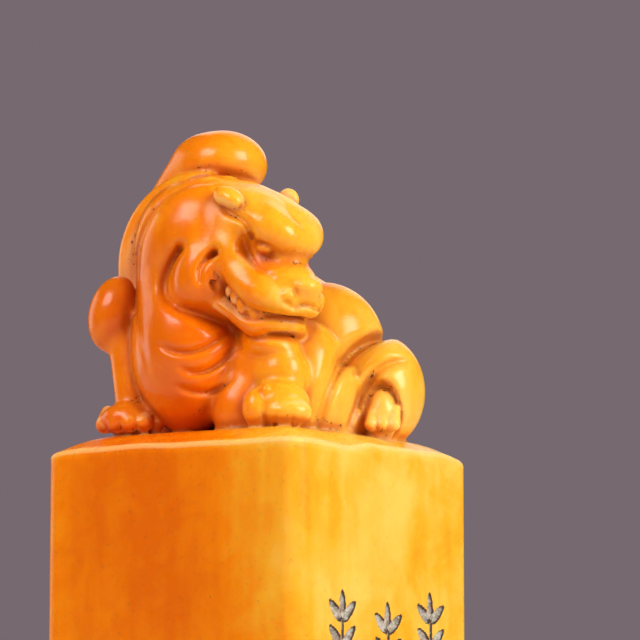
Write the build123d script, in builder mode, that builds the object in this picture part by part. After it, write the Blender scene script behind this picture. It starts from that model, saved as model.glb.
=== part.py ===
from build123d import *
import math
import os

# Stone seal stamp: a square shaft with a crouching guardian beast carved as its knob.
# The origin is the centre of the seal face and +Z is up. The beast looks towards +X.
# A real one is cut from a single stone. Each solid here is one form of the carving,
# parted from its neighbours along the crease between them, so they meet face to face.

# Driving dimensions, in millimetres
seal_side = 34.0
block_height = 52.0
corner_radius = 2.2
rim_radius = 0.8

# The beast lies across the block, and its head turns back towards +X and nods down
knob_turn = 34.2
head_turn = -45.0
head_nod = 12.0

# The printing face
face_relief = 0.9
face_backing = 1.1
border_width = 1.6
fret_line = 1.2
fret_turns = 5
fret_cells = 2

# The ground that swells up from the rim to the beast's feet
mound_height = 1.9
mound_run = 3.0
mound_corner_radius = 1.0

# Leaf sprays cut into the +X side of the block: a leaf at each tip, and pairs down the stem
leaf_length = 3.4
leaf_half_width = 0.62
leaf_depth = 0.5
leaf_spread = 52.0
leaf_pitch = 2.7
stem_width = 0.35
leaf_pairs = 8
spray_across_shares = (-0.26, 0.0, 0.25)
spray_top_shares = (0.635, 0.615, 0.64)

# The beast follows the seal's side, as a carver sizes it to the stone. In these tables
# a row is one stop of a rounded mass: across, deep, up from the rim, and its radius, all
# as shares of the seal's side.
torso_shares = ((-0.165, 0.07, 0.395, 0.253), (-0.17, 0.01, 0.635, 0.241))
neck_shares = ((-0.205, -0.045, 0.655, 0.215), (-0.18, -0.125, 0.685, 0.20))
belly_shares = ((-0.21, -0.125, 0.265, 0.206), (-0.21, -0.12, 0.425, 0.209))
rump_shares = ((-0.185, 0.19, 0.285, 0.228), (-0.19, 0.165, 0.415, 0.225))
left_flank_shares = ((0.09, 0.16, 0.29, 0.235), (0.03, 0.13, 0.455, 0.224))
chest_shares = ((0.01, -0.175, 0.225, 0.138), (-0.02, -0.16, 0.355, 0.144))
left_shoulder_shares = ((0.155, 0.065, 0.39, 0.18), (0.245, 0.03, 0.31, 0.185))
left_forearm_shares = ((0.38, -0.01, 0.24, 0.147), (0.395, -0.01, 0.17, 0.153))
arch_shares = ((0.40, -0.205, 0.195, 0.055), (0.39, -0.205, 0.06, 0.075))
left_forepaw_shares = ((0.40, -0.105, 0.165, 0.065), (0.395, -0.14, 0.13, 0.07))
right_thigh_shares = ((-0.465, -0.03, 0.42, 0.088), (-0.48, -0.03, 0.495, 0.085))
right_shank_shares = ((-0.44, -0.045, 0.355, 0.06), (-0.425, -0.075, 0.135, 0.047))
left_thigh_shares = ((-0.08, 0.34, 0.22, 0.153), (-0.04, 0.325, 0.335, 0.156))
right_arm_shares = ((0.035, -0.205, 0.31, 0.088), (0.07, -0.295, 0.205, 0.097))

# Tail, which rises up the back and ends in a round tuft over the head
tail_shares = (
    (-0.20, 0.06, 0.935, 0.106),
    (-0.30, 0.125, 0.78, 0.103),
    (-0.36, 0.185, 0.54, 0.077),
    (-0.325, 0.295, 0.295, 0.07),
)
tuft_shares = ((-0.16, 0.03, 0.96, 0.116), (-0.09, 0.025, 0.96, 0.115))

# Spine ridge, and the arcs of the ribs on the right flank
ridge_shares = (
    (-0.375, 0.01, 0.355, 0.027),
    (-0.43, 0.055, 0.55, 0.034),
    (-0.42, 0.06, 0.71, 0.034),
    (-0.34, 0.025, 0.845, 0.034),
    (-0.18, -0.09, 0.895, 0.03),
    (-0.08, -0.145, 0.87, 0.027),
)
rib_shares = (
    ((-0.30, -0.315, 0.395), (-0.215, -0.345, 0.355), (-0.12, -0.31, 0.395)),
    ((-0.29, -0.325, 0.29), (-0.195, -0.34, 0.27), (-0.10, -0.295, 0.355)),
    ((-0.235, -0.32, 0.215), (-0.155, -0.305, 0.215), (-0.08, -0.265, 0.305)),
)
rib_share = 0.026

# Paws: a pad, and the tips of its toes around it. A toe's last value is its tip's radius
hind_pad_shares = ((-0.455, -0.075, 0.112, 0.06), (-0.375, -0.078, 0.105, 0.055))
hind_toe_shares = (
    (-0.49, -0.095, 0.086, 0.03),
    (-0.452, -0.135, 0.086, 0.03),
    (-0.41, -0.155, 0.086, 0.03),
    (-0.368, -0.152, 0.086, 0.03),
    (-0.335, -0.12, 0.086, 0.029),
)
left_hind_pad_shares = ((-0.07, 0.46, 0.107, 0.056), (0.015, 0.455, 0.102, 0.056))
left_hind_toe_shares = (
    (-0.10, 0.53, 0.086, 0.03),
    (-0.05, 0.56, 0.086, 0.031),
    (0.005, 0.555, 0.086, 0.031),
    (0.05, 0.525, 0.086, 0.03),
)
forepad_shares = ((0.025, -0.36, 0.123, 0.071), (0.105, -0.355, 0.118, 0.069))
fore_toe_shares = (
    (-0.025, -0.39, 0.086, 0.038),
    (0.03, -0.435, 0.086, 0.04),
    (0.085, -0.445, 0.086, 0.04),
    (0.14, -0.42, 0.086, 0.038),
)
toe_run_share = 0.047
toe_rise_share = 0.062
knuckle_share = 0.8

# Head. Its middle is placed like the body. In these tables a row is forward, towards the
# left, up, and the radius, all as shares of the head's length.
head_shares = (0.005, -0.245, 0.68)
head_length_share = 0.47
skull_shares = ((-0.125, 0.0, 0.08, 0.306), (0.075, 0.0, 0.04, 0.294))
muzzle_shares = ((0.16, 0.0, -0.20, 0.238), (0.48, 0.0, -0.31, 0.125))
nose_shares = ((0.555, -0.06, -0.285, 0.078), (0.555, 0.06, -0.285, 0.075))
nostril_shares = (0.505, 0.12, -0.33, 0.056)
jaw_shares = ((0.01, 0.0, -0.51, 0.175), (0.225, 0.0, -0.545, 0.163))
jaw_edge_shares = ((-0.075, 0.31, -0.425, 0.075), (0.18, 0.245, -0.60, 0.072), (0.39, 0.06, -0.62, 0.062))
lip_shares = (
    (0.03, 0.31, -0.25, 0.056),
    (0.27, 0.24, -0.37, 0.10),
    (0.45, 0.12, -0.43, 0.081),
    (0.52, 0.0, -0.43, 0.069),
)
gape_shares = (
    (0.0, 0.39, -0.35, 0.019),
    (0.22, 0.31, -0.49, 0.072),
    (0.40, 0.175, -0.53, 0.028),
    (0.51, 0.0, -0.525, 0.022),
)
brow_shares = ((0.04, 0.28, 0.04, 0.056), (0.27, 0.18, 0.06, 0.103), (0.38, 0.04, 0.02, 0.081))
eye_shares = (0.29, 0.18, -0.11, 0.075)
cheek_shares = ((-0.03, 0.285, -0.11, 0.10), (0.055, 0.285, -0.13, 0.097))
jowl_shares = ((-0.17, 0.31, -0.25, 0.194), (-0.15, 0.31, -0.39, 0.175))
lock_shares = ((-0.12, -0.42, -0.16, 0.088), (-0.18, -0.46, -0.37, 0.119), (0.02, -0.37, -0.60, 0.075))
ear_shares = ((-0.145, 0.275, 0.225, 0.084), (-0.045, 0.28, 0.26, 0.08))
beard_shares = ((0.12, 0.0, -0.71, 0.119), (0.35, 0.0, -0.705, 0.10))

# The next limb of a chain starts this much thinner than the last one ended
step_share = 0.97

sides = (("right", -1), ("left", 1))
head_length = head_length_share * seal_side
knob_axes = Location((0, 0, block_height), (0, 0, knob_turn))


def on_knob(shares):
    """The place on the knob that these shares give, as a location along the beast's axes."""
    across, deep, up = shares[:3]
    return knob_axes * Pos(across * seal_side, deep * seal_side, up * seal_side)


head_axes = on_knob(head_shares) * Rot(0, 0, head_turn) * Rot(0, head_nod, 0)


def on_head(shares, side=1):
    """The place on the head that these shares give. A side of -1 mirrors it to the right."""
    forward, left, up = shares[:3]
    return head_axes * Pos(forward * head_length, side * left * head_length, up * head_length)


def limb(start, end, start_radius, end_radius):
    """A round limb that tapers between two places, with a ball at each end."""
    reach = end.position - start.position
    slope = (start_radius - end_radius) / reach.length
    tilt = math.asin(slope)
    low_middle = (tilt - math.pi / 2) / 2
    high_middle = (tilt + math.pi / 2) / 2
    sideways = reach.cross(Vector(0.3, 0.5, 0.7)).normalized()
    with BuildPart(mode=Mode.PRIVATE) as form:
        with BuildSketch(Plane(start.position, x_dir=sideways, z_dir=sideways.cross(reach))):
            with BuildLine():
                low_tip = (0, -start_radius)
                low_side = (start_radius * math.cos(tilt), start_radius * math.sin(tilt))
                high_centre = reach.length
                high_side = (end_radius * math.cos(tilt), high_centre + end_radius * math.sin(tilt))
                high_tip = (0, high_centre + end_radius)
                low_turn = (start_radius * math.cos(low_middle), start_radius * math.sin(low_middle))
                high_turn = (
                    end_radius * math.cos(high_middle),
                    high_centre + end_radius * math.sin(high_middle),
                )
                ThreePointArc(low_tip, low_turn, low_side)
                Line(low_side, high_side)
                ThreePointArc(high_side, high_turn, high_tip)
                Line(high_tip, low_tip)
            make_face()
        revolve(axis=Axis(start.position, reach))
    return form.part


def body_run(rows):
    """The limbs through the rows of a body table."""
    return run([on_knob(row) for row in rows], [row[3] * seal_side for row in rows])


def head_run(rows, side=1):
    """The limbs through the rows of a head table."""
    return run([on_head(row, side) for row in rows], [row[3] * head_length for row in rows])


def run(places, radii):
    """Limbs from place to place. Each after the first starts a little inside the ball before it."""
    starts = [radii[0]] + [radius * step_share for radius in radii[1:]]
    return [limb(places[i], places[i + 1], starts[i], radii[i + 1]) for i in range(len(places) - 1)]


def ball(place, radius):
    """A round knob of stone."""
    with BuildPart(mode=Mode.PRIVATE) as form:
        Sphere(radius)
    return place * form.part


def bow(start, middle, end, radius):
    """A round bar along the arc through three places."""
    with BuildPart(mode=Mode.PRIVATE) as form:
        with BuildLine() as path:
            ThreePointArc(start.position, middle.position, end.position)
        with BuildSketch(Plane(origin=path.line @ 0, z_dir=path.line % 0)):
            Circle(radius)
        sweep()
    return form.part


def paw(pad_rows, toe_rows, ahead):
    """Toes, and the pad that they run back into. Each toe rises from its tip into the pad."""
    toes = []
    for row in toe_rows:
        tip = on_knob(row)
        knuckle = tip * Pos(0, ahead * toe_run_share * seal_side, toe_rise_share * seal_side)
        tip_radius = row[3] * seal_side
        toes.append(limb(knuckle, tip, knuckle_share * tip_radius, tip_radius))
    return toes + body_run(pad_rows)


def meet(one, other):
    """Whether the boxes of two forms meet."""
    a = one.bounding_box(optimal=False)
    b = other.bounding_box(optimal=False)
    return all(
        low < high
        for low, high in (
            (a.min.X, b.max.X), (b.min.X, a.max.X),
            (a.min.Y, b.max.Y), (b.min.Y, a.max.Y),
            (a.min.Z, b.max.Z), (b.min.Z, a.max.Z),
        )
    )


def finish(piece, name):
    """Label a finished sub-part and write its file."""
    piece.part.label = name
    export_step(piece.part, f"parts/{name}.step")


def carve(name, own, larger, hollow=()):
    """One form of the carving: its own shapes, cut back where a larger form has the stone.

    A hollow is cut away too, and stays open. The shapes then count as larger for the next.
    """
    with BuildPart() as piece:
        for form in own:
            add(form)
        for form in [*larger, *hollow]:
            if any(meet(form, mine) for mine in own):
                add(form, mode=Mode.SUBTRACT)
    finish(piece, name)
    larger.extend(own)
    return piece.part


os.makedirs("parts", exist_ok=True)

# Printing face: a border and square spirals stand out of a thin backing
cell_side = (seal_side - 2 * border_width) / fret_cells
fret_pitch = cell_side / (fret_turns + 1)


def spiral_bars():
    """The bars of one square spiral, each as its middle and its two lengths."""
    bars = []
    x = -fret_turns * fret_pitch / 2
    y = x
    heading = 0
    runs = [fret_turns] + [turns for turns in range(fret_turns, 0, -1) for _ in range(2)]
    for run in runs:
        step_x = run * fret_pitch * (1, 0, -1, 0)[heading]
        step_y = run * fret_pitch * (0, 1, 0, -1)[heading]
        bars.append((x + step_x / 2, y + step_y / 2, abs(step_x) + fret_line, abs(step_y) + fret_line))
        x += step_x
        y += step_y
        heading = (heading + 1) % 4
    return bars


with BuildPart() as seal_face:
    with BuildSketch(Plane.XY.offset(face_relief)):
        RectangleRounded(seal_side, seal_side, corner_radius)
    extrude(amount=face_backing)
    with BuildSketch(Plane.XY):
        RectangleRounded(seal_side, seal_side, corner_radius)
        Rectangle(seal_side - 2 * border_width, seal_side - 2 * border_width, mode=Mode.SUBTRACT)
        with GridLocations(cell_side, cell_side, fret_cells, fret_cells):
            for bar_x, bar_y, bar_length, bar_depth in spiral_bars():
                with Locations((bar_x, bar_y)):
                    Rectangle(bar_length, bar_depth)
    extrude(amount=face_relief)
finish(seal_face, "seal_face")

# Block: the square shaft that the hand holds, with leaf sprays cut into its +X side
with BuildPart() as seal_block:
    with BuildSketch(Plane.XY.offset(face_relief + face_backing)):
        RectangleRounded(seal_side, seal_side, corner_radius)
    extrude(amount=block_height - face_relief - face_backing)
    fillet(seal_block.faces().sort_by(Axis.Z)[-1].edges(), rim_radius)
    with BuildSketch(Plane.YZ.offset(seal_side / 2)):
        for across_share, top_share in zip(spray_across_shares, spray_top_shares):
            across = across_share * seal_side
            top = top_share * block_height
            spray_length = leaf_pairs * leaf_pitch
            with Locations((across, top - spray_length / 2)):
                Rectangle(stem_width, spray_length)
            with Locations((across, top + leaf_length / 2)):
                Ellipse(leaf_half_width, leaf_length / 2)
            for number in range(leaf_pairs):
                for hand in (-1, 1):
                    with Locations(Location((across, top - number * leaf_pitch), hand * leaf_spread)):
                        with Locations((0, leaf_length / 2)):
                            Ellipse(leaf_half_width, leaf_length / 2)
    extrude(amount=-leaf_depth, mode=Mode.SUBTRACT)
finish(seal_block, "seal_block")

# Ground: the carved swell between the rim and the feet
mound_side = seal_side - 2 * rim_radius
with BuildPart() as ground_mound:
    with BuildSketch(Plane.XY.offset(block_height)):
        RectangleRounded(mound_side, mound_side, corner_radius)
    with BuildSketch(Plane.XY.offset(block_height + mound_height)):
        RectangleRounded(mound_side - 2 * mound_run, mound_side - 2 * mound_run, mound_corner_radius)
    loft()
finish(ground_mound, "ground_mound")

# The beast, from the largest forms to the smallest
stone = [ground_mound.part]
carve("torso", body_run(torso_shares), stone)
carve("neck", body_run(neck_shares), stone)
carve("belly", body_run(belly_shares), stone)
carve("rump", body_run(rump_shares), stone)
carve("left_flank", body_run(left_flank_shares), stone)
carve("chest", body_run(chest_shares), stone)
carve("left_shoulder", body_run(left_shoulder_shares), stone)
carve("left_hind_thigh", body_run(left_thigh_shares), stone)
carve("right_hind_thigh", body_run(right_thigh_shares), stone)
carve("right_upper_arm", body_run(right_arm_shares), stone)
carve("tail", body_run(tail_shares), stone)
carve("tail_tuft", body_run(tuft_shares), stone)
carve("spine_ridge", body_run(ridge_shares), stone)
arch = body_run(arch_shares)
left_forearm_part = carve("left_forearm", body_run(left_forearm_shares), stone, arch)
carve("right_forepaw", paw(forepad_shares, fore_toe_shares, 1), stone)
carve("right_hind_shank", body_run(right_shank_shares), stone)
carve("right_hind_paw", paw(hind_pad_shares, hind_toe_shares, 1), stone)
carve("left_hind_paw", paw(left_hind_pad_shares, left_hind_toe_shares, -1), stone)
for number, (start, middle, end) in enumerate(rib_shares):
    rib_form = bow(on_knob(start), on_knob(middle), on_knob(end), rib_share * seal_side)
    carve(f"rib_{number + 1}", [rib_form], stone)

# The paw that shows in the forearm's arch
with BuildPart() as left_forepaw:
    for form in body_run(left_forepaw_shares):
        add(form)
    add(ground_mound.part, mode=Mode.SUBTRACT)
    add(left_forearm_part, mode=Mode.SUBTRACT)
finish(left_forepaw, "left_forepaw")

# The head. The open mouth is cut through the muzzle, the jaw and both lips
carve("skull", head_run(skull_shares), stone)
gape = head_run(gape_shares, 1) + head_run(gape_shares, -1)
carve("muzzle", head_run(muzzle_shares), stone, gape)
jaw_edges = head_run(jaw_edge_shares, 1) + head_run(jaw_edge_shares, -1)
carve("lower_jaw", head_run(jaw_shares) + jaw_edges, stone, gape)
for side_name, side in sides:
    carve(f"{side_name}_jowl", head_run(jowl_shares, side), stone)
    carve(f"{side_name}_lip", head_run(lip_shares, side), stone, gape)
    carve(f"{side_name}_brow", head_run(brow_shares, side), stone)
    carve(f"{side_name}_cheek", head_run(cheek_shares, side), stone)
    carve(f"{side_name}_eye", [ball(on_head(eye_shares, side), eye_shares[3] * head_length)], stone)
    carve(f"{side_name}_ear", head_run(ear_shares, side), stone)
carve("right_mane_lock", head_run(lock_shares), stone)
nostrils = [ball(on_head(nostril_shares, side), nostril_shares[3] * head_length) for _, side in sides]
carve("nose", head_run(nose_shares) + nostrils, stone)
carve("beard", head_run(beard_shares), stone)
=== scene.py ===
"""Looks of the stone seal stamp: a polished orange shaft with a crouching beast carved on top.

The beast is one skin, modelled as a signed distance: rounded forms that flow into each other,
hollows dug out of them and lines cut across their front. Its sizes are millimetres in the
knob's own axes (across, deep, up), scaled to the block that the frame brings.
"""
import math
import bpy
import numpy as np
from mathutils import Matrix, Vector


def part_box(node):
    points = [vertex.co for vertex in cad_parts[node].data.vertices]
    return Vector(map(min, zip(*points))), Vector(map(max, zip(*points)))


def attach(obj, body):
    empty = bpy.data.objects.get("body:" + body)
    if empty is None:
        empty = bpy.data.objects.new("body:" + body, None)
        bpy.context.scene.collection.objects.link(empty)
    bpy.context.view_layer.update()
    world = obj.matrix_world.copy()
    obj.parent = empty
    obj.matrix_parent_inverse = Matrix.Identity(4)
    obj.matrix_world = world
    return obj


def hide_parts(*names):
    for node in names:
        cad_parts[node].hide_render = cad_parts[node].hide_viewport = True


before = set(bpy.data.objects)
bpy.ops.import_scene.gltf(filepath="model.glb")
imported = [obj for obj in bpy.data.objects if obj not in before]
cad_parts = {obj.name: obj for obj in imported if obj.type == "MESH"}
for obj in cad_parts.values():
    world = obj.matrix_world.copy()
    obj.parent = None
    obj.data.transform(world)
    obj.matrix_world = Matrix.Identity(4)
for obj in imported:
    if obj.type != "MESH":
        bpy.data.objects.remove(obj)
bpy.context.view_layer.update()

# The block in the frame gives the scale, and the middle and height of its rim
SIDE, SHAFT_HEIGHT = 34, 52
HALF_SIDE = SIDE / 2
block_low, block_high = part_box("seal_block")
MM = (block_high.x - block_low.x) / SIDE
MIDDLE = (block_low + block_high) / 2
RIM = block_high.z
KNOB_TURN = math.radians(34.2)
KNOB_COS, KNOB_SIN = math.cos(KNOB_TURN), math.sin(KNOB_TURN)


def to_row(points):
    """Knob points (across, deep, up from the rim, in millimetres) in the row frame, in metres."""
    across, deep, up = points[..., 0], points[..., 1], points[..., 2]
    return np.stack([
        MIDDLE.x + MM * (across * KNOB_COS - deep * KNOB_SIN),
        MIDDLE.y + MM * (across * KNOB_SIN + deep * KNOB_COS),
        RIM + MM * up,
    ], -1)


def place(across, deep, up):
    """One knob point in the row frame."""
    return Vector(to_row(np.array((across, deep, up), float)))


# Camera, as the photograph was taken: low, close, and tilted up a little
CAMERA_ACROSS, CAMERA_BACK, CAMERA_UP = 6.72, 360.0, -29.4
CAMERA_TILT = math.radians(7.03)
FOCAL_PIXELS, PICTURE_PIXELS = 3254.0, 640
SENSOR = 36
CAMERA_NEAR, CAMERA_FAR = 0.01, 20


def seen(column, row, deep):
    """The knob point at this depth that the camera sees at a picture position, in pixels."""
    right = (column - PICTURE_PIXELS / 2) / FOCAL_PIXELS
    rise = (PICTURE_PIXELS / 2 - row) / FOCAL_PIXELS
    forward = math.cos(CAMERA_TILT) - rise * math.sin(CAMERA_TILT)
    upward = math.sin(CAMERA_TILT) + rise * math.cos(CAMERA_TILT)
    reach = (deep + CAMERA_BACK) / forward
    return np.array((CAMERA_ACROSS + right * reach, deep, CAMERA_UP + upward * reach), np.float32)


# Signed distance forms. Each takes an (n, 3) array of points and returns n distances

def turned(yaw, pitch=0.0):
    """Axes of a form, as columns: turned about the upright axis, then nodded about its own left."""
    y, p = math.radians(yaw), math.radians(pitch)
    about_up = np.array([[math.cos(y), -math.sin(y), 0], [math.sin(y), math.cos(y), 0], [0, 0, 1]])
    about_left = np.array([[math.cos(p), 0, math.sin(p)], [0, 1, 0], [-math.sin(p), 0, math.cos(p)]])
    return (about_up @ about_left).astype(np.float32)


def ball(p, centre, radii, axes=None):
    """An ellipsoid: the point's length scaled by the radii, less one, made a distance by its slope."""
    q = p - np.asarray(centre, np.float32)
    if axes is not None:
        q = q @ axes
    q = q / np.asarray(radii, np.float32)
    scaled = np.sqrt((q * q).sum(-1))
    q = q / np.asarray(radii, np.float32)
    steepness = np.sqrt((q * q).sum(-1)) + 1e-6
    return scaled * (scaled - 1) / steepness


def limb(p, start, end, start_radius, end_radius):
    """A tapered limb: the distance to its line, less a radius that changes evenly along it."""
    start = np.asarray(start, np.float32)
    run = np.asarray(end, np.float32) - start
    q = p - start
    along = np.clip((q @ run) / float(run @ run), 0, 1)
    q = q - along[:, None] * run
    return np.sqrt((q * q).sum(-1)) - (start_radius + (end_radius - start_radius) * along)


def join(a, b, soft):
    """Two forms together, with a fillet of this size in the crease: the smaller distance, eased."""
    ease = np.maximum(soft - np.abs(a - b), 0) / soft
    return np.minimum(a, b) - ease * ease * soft * 0.25


def dig(a, b, soft):
    """The first form with the second dug out, with an edge rounded by this size."""
    return -join(-a, b, soft)


def curve(stops, steps):
    """A smooth run through stops of any number of values: between two stops each value follows a
    cubic whose slope at a stop is half the way between its neighbours."""
    knots = np.array(stops, float)
    knots = np.vstack([2 * knots[0] - knots[1], knots, 2 * knots[-1] - knots[-2]])
    t = np.linspace(0, 1, steps, endpoint=False)[:, None]
    run = []
    for a, b, c, d in zip(knots, knots[1:], knots[2:], knots[3:]):
        square = a - 2.5 * b + 2 * c - d / 2
        cube = 1.5 * b - 1.5 * c + (d - a) / 2
        run.append(b + t * (c - a) / 2 + t * t * square + t ** 3 * cube)
    return np.vstack(run + [knots[-2:-1]])


def chain(p, stops, steps=4):
    """A limb along a smooth curve through stops of place and radius: the least distance to any of
    the curve's short limbs."""
    run = curve(stops, steps)
    form = limb(p, run[0, :3], run[1, :3], run[0, 3], run[1, 3])
    for start, end in zip(run[1:], run[2:]):
        form = np.minimum(form, limb(p, start[:3], end[:3], start[3], end[3]))
    return form


def both_sides(shape):
    """The same shape on the left and on the right of the head."""
    def pair(p, *sizes):
        return shape(np.stack([p[:, 0], np.abs(p[:, 1]), p[:, 2]], -1), *sizes)
    return pair


def near(p, centre, reach, form, far=2.5):
    """A form that lies within this reach of a centre, worked out only for points close to it."""
    q = p - np.asarray(centre, np.float32)
    away = np.sqrt((q * q).sum(-1)) - reach
    close = away < far
    out = away + far
    out[close] = form(p[close])
    return out


def carved(p, forms, body=None):
    """A body with a table of forms worked into it in turn; without a body, the first form is it.
    Each form has how it meets the body (join or dig), how soft the seam is, its shape, and the
    shape's places and sizes."""
    for meet, soft, shape, *sizes in forms.values():
        form = shape(p, *sizes)
        body = form if body is None else meet(body, form, soft)
    return body


# The head, in its own axes (forward, left, up). Balls and chains in the plural are on both sides

HEAD = np.array((0.2, -8.3, 23.2), np.float32)
HEAD_AXES = turned(-45, 12)
EAR_AXES = turned(0, 15)
balls, chains = both_sides(ball), both_sides(chain)

JAW = {
    "jawbone": (join, 0.6, chains, (
        (-1.2, 5.0, -6.8, 1.2), (1.8, 4.4, -9.0, 1.1), (4.2, 3.2, -9.7, 1.1), (6.0, 1.7, -9.1, 1.0),
        (6.7, 0, -8.9, 1.0),
    )),
    "chin": (join, 0.6, ball, (2.0, 0, -8.4), (4.6, 3.8, 2.6)),
}
FACE = {
    "skull": (join, 1.4, ball, (-0.6, 0, 0.2), (5.6, 4.9, 4.6)),
    "crown": (join, 1.4, ball, (-2.4, 0, 2.7), (4.6, 4.6, 2.9), turned(0, 18)),
    "jowls": (join, 1.4, balls, (-2.9, 4.9, -5.4), (3.7, 3.4, 5.0)),
    "cheekbones": (join, 1.4, balls, (0.2, 4.7, -1.9), (2.2, 1.7, 1.9)),
    "temples": (join, 1.6, balls, (-2.0, 4.0, 0.2), (3.2, 2.3, 3.8)),
    "muzzle": (join, 0.8, chain, ((2.8, 0, -3.6, 3.3), (6.0, 0, -4.6, 2.5), (8.2, 0, -5.1, 1.6))),
    "lips": (join, 0.9, chains, (
        (0.6, 5.0, -2.8, 1.2), (2.3, 4.6, -4.5, 1.5), (4.8, 3.6, -6.0, 1.9), (7.2, 2.0, -6.7, 1.3),
        (8.3, 0, -6.8, 1.1),
    )),
    "snout sides": (join, 1.0, chains, ((1.2, 4.0, -2.8, 1.6), (3.6, 3.0, -3.7, 1.9), (6.2, 1.5, -4.7, 1.6))),
    "forehead": (join, 1.6, balls, (1.6, 1.8, 1.9), (3.4, 2.6, 2.1), turned(0, 22)),
    "brows": (join, 1.6, chains, (
        (0.6, 3.9, 1.0, 1.3), (3.2, 3.2, 1.2, 1.9), (5.0, 1.9, 0.5, 2.0), (5.7, 0.4, 0.0, 1.7),
    )),
    "sockets": (dig, 0.5, balls, (4.6, 4.2, -1.9), (2.9, 1.7, 1.35), turned(-14, 14)),
    "eyes": (join, 0.3, balls, (4.2, 3.1, -1.2), (1.0, 0.75, 0.6)),
    "nose": (join, 0.4, ball, (8.7, 0, -4.6), (1.3, 1.7, 1.0)),
    "nostrils": (join, 0.2, balls, (7.8, 2.2, -5.9), (1.0, 0.9, 0.9)),
    "jaw": (join, 0.4, carved, JAW),
    "gape": (dig, 0.25, chains, (
        (0.0, 6.3, -5.6, 0.3), (2.6, 5.4, -7.2, 0.95), (4.4, 4.6, -8.4, 0.75), (6.4, 2.8, -8.1, 0.22),
        (8.4, 0, -8.0, 0.14),
    )),
    "gums": (join, 0.3, chains, ((1.4, 3.8, -6.2, 0.9), (3.2, 3.6, -7.3, 1.1), (4.9, 2.8, -8.1, 0.8))),
}
# Teeth: place and radius
TEETH = ((1.5, 4.7, -6.3, 0.5), (2.5, 4.6, -6.9, 0.6), (3.5, 4.3, -7.6, 0.7), (4.7, 3.6, -8.1, 0.6))
TOOTH_STRETCH, TOOTH_SEAM = 1.4, 0.15
EARS_AND_BEARD = {
    "right ear": (join, 0.3, ball, (-0.2, -5.3, 3.6), (2.1, 1.4, 1.2), EAR_AXES),
    "left ear": (join, 0.3, ball, (-0.8, 4.2, 4.5), (1.4, 0.9, 1.15), EAR_AXES),
    "beard": (join, 0.35, ball, (3.6, 0, -11.5), (3.8, 3.1, 1.9)),
}


def head(p):
    """The head, with a row of teeth in the open mouth."""
    q = (p - HEAD) @ HEAD_AXES
    form = carved(q, FACE)
    for *tooth, radius in TEETH:
        form = join(form, balls(q, tooth, (radius, radius, radius * TOOTH_STRETCH)), TOOTH_SEAM)
    return carved(q, EARS_AND_BEARD, form)


# The trunk. The spine ridge runs up the back and over to the head; the tail ends in a tuft above it

SPINE = (
    (-12.2, -0.6, 8.0, 1.0), (-13.4, 0.6, 12.0, 1.2), (-14.2, 1.5, 15.5, 1.3), (-14.5, 2.0, 19.0, 1.35),
    (-14.5, 2.1, 22.5, 1.4), (-13.6, 1.9, 25.7, 1.4), (-11.9, 1.1, 28.1, 1.4), (-9.4, -0.6, 29.6, 1.4),
    (-6.1, -3.0, 30.0, 1.3), (-3.2, -5.0, 29.2, 1.1),
)
TAIL = {
    "tuft": (join, 1.2, ball, (-4.2, 1.0, 32.6), (5.0, 5.2, 3.9)),
    "tail": (join, 1.2, chain, (
        (-6.5, 1.8, 32.3, 3.7), (-10.2, 4.2, 26.5, 3.4), (-12.3, 6.3, 18.5, 2.6), (-11.0, 10.0, 10.0, 2.4),
    ), 3),
}
# Grooves in the tail: sideways directions, and stops of place in the tail, way out to its skin, and radius
GROOVE_SIDES = ((-0.78, 0.62, 0.1), (-0.2, 0.98, 0.1), (0.5, 0.87, 0.1))
GROOVE_STOPS = (
    ((-8.6, 3.1, 29.4), 3.4, 0.1), ((-10.2, 4.2, 26.5), 3.4, 0.42),
    ((-12.3, 6.3, 18.5), 2.6, 0.42), ((-11.4, 9.0, 12.0), 2.4, 0.1),
)
GROOVE_SEAM = 0.2


def spine(p):
    """The smooth ridge on the back."""
    return chain(p, SPINE, 3)


BACK = {
    "nape": (join, 2.0, ball, (-6.8, -3.0, 23.0), (7.0, 7.8, 7.4)),
    "right flank": (join, 2.0, ball, (-7.4, -3.2, 11.5), (6.6, 8.6, 9.8)),
    "waist": (join, 2.0, ball, (-6.3, -1.0, 17.1), (7.6, 8.0, 10.0)),
    "back": (join, 2.0, ball, (-4.0, 4.0, 18.5), (9.3, 7.0, 10.0)),
    "rump": (join, 2.0, ball, (-6.4, 6.4, 10.5), (8.2, 8.0, 10.5)),
    "left flank": (join, 2.0, ball, (3.5, 5.5, 10.5), (8.5, 7.5, 10.6)),
    "spine ridge": (join, 0.6, near, (-9.0, -1.0, 20.0), 15.5, spine),
    "tail and tuft": (join, 0.4, carved, TAIL),
}
FRONT = {
    "chest": (join, 1.0, ball, (0.4, -6.0, 9.2), (4.4, 5.0, 6.5)),
    "low chest": (join, 1.5, ball, (6.6, -2.0, 5.0), (5.6, 5.4, 6.6)),
    "side of the chest": (join, 1.5, ball, (5.0, -5.0, 7.0), (4.8, 4.7, 7.4)),
    "belly": (join, 1.2, ball, (-1.6, -8.0, 4.2), (3.4, 3.2, 4.2)),
    "mane lock": (join, 2.6, ball, (-5.3, -7.1, 23.8), (4.8, 4.4, 5.8)),
}


def trunk(p):
    """Neck, flanks, back and rump, with the spine ridge, the tail and the tuft over the head."""
    form = carved(p, BACK)
    for side in GROOVE_SIDES:
        stops = [(*(np.array(spot) + way * np.array(side)), radius) for spot, way, radius in GROOVE_STOPS]
        form = dig(form, chain(p, stops, 3), GROOVE_SEAM)
    return carved(p, FRONT, form)


# The legs. Toes and knuckles stand in rows on the paws

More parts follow.
